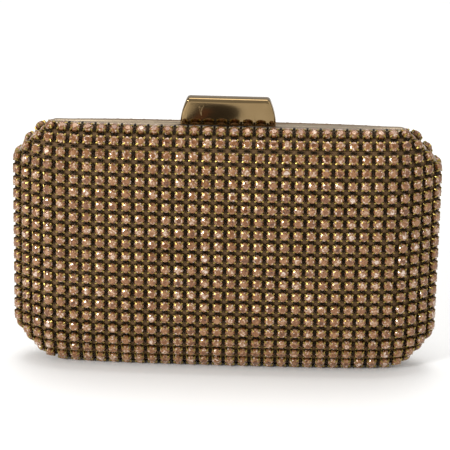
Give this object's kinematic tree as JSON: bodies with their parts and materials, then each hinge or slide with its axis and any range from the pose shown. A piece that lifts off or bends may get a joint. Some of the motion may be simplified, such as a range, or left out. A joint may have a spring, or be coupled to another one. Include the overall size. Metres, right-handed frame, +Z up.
{
  "type": "evening box bag",
  "caption": "Hinged box evening bag: two shallow cut-corner shells covered in crystal mesh, slim metal frames hinged along the base, and a tilting trapezoid clasp on top",
  "frame": {"origin": "centre of the bag's box on the surface it stands on", "axes": "+X to the right across the bag, +Y from front to back, +Z up; the front face looks along -Y"},
  "size_m": [0.17, 0.035, 0.1117],
  "materials": {
    "crystal": "faceted champagne crystals in square prong cups, linked into a mesh",
    "olive_cloth": "close olive-brown woven cloth under the crystal mesh",
    "moulded_shell": "black moulded plastic, satin",
    "board": "grey-brown stiffener board",
    "satin": "champagne satin weave",
    "pale_gold": "pale champagne gold plate, satin",
    "polished_gold": "pale gold plate, mirror polished, light handling scratches",
    "brass": "yellow brass, slightly darkened",
    "steel": "plain steel wire and strip"
  },
  "bodies": {
    "back_half": {"back_crystal_mesh": "crystal", "back_backing_cloth": "olive_cloth", "back_shell": "moulded_shell", "back_lining_board": "board", "back_lining": "satin", "back_frame": "pale_gold", "back_hinge_rivets": "steel", "back_hinge_leaf_left": "brass", "back_hinge_leaf_right": "brass", "hinge_pin_left": "steel", "hinge_pin_right": "steel", "back_pocket": "satin", "clasp_bracket": "steel", "bracket_rivets": "steel", "clasp_spring": "steel"},
    "front_half": {"front_crystal_mesh": "crystal", "front_backing_cloth": "olive_cloth", "front_shell": "moulded_shell", "front_lining_board": "board", "front_lining": "satin", "front_frame": "pale_gold", "front_hinge_rivets": "steel", "front_hinge_leaf_left": "brass", "front_hinge_leaf_right": "brass", "keeper": "steel", "keeper_rivets": "steel"},
    "clasp": {"clasp_cap": "polished_gold", "clasp_pin": "steel", "clasp_hook": "steel"}
  },
  "joints": [
    {"name": "lid_hinge", "type": "hinge", "parent": "back_half", "child": "front_half", "pos_m": [0, 0, 0.0022], "axis": [1, 0, 0], "range_deg": [0, 95]},
    {"name": "clasp_tilt", "type": "hinge", "parent": "back_half", "child": "clasp", "pos_m": [0, 0.0009, 0.10265], "axis": [-1, 0, 0], "range_deg": [0, 15], "stiffness_Nm_per_rad": 0.02, "springref_deg": -11.46}
  ]
}
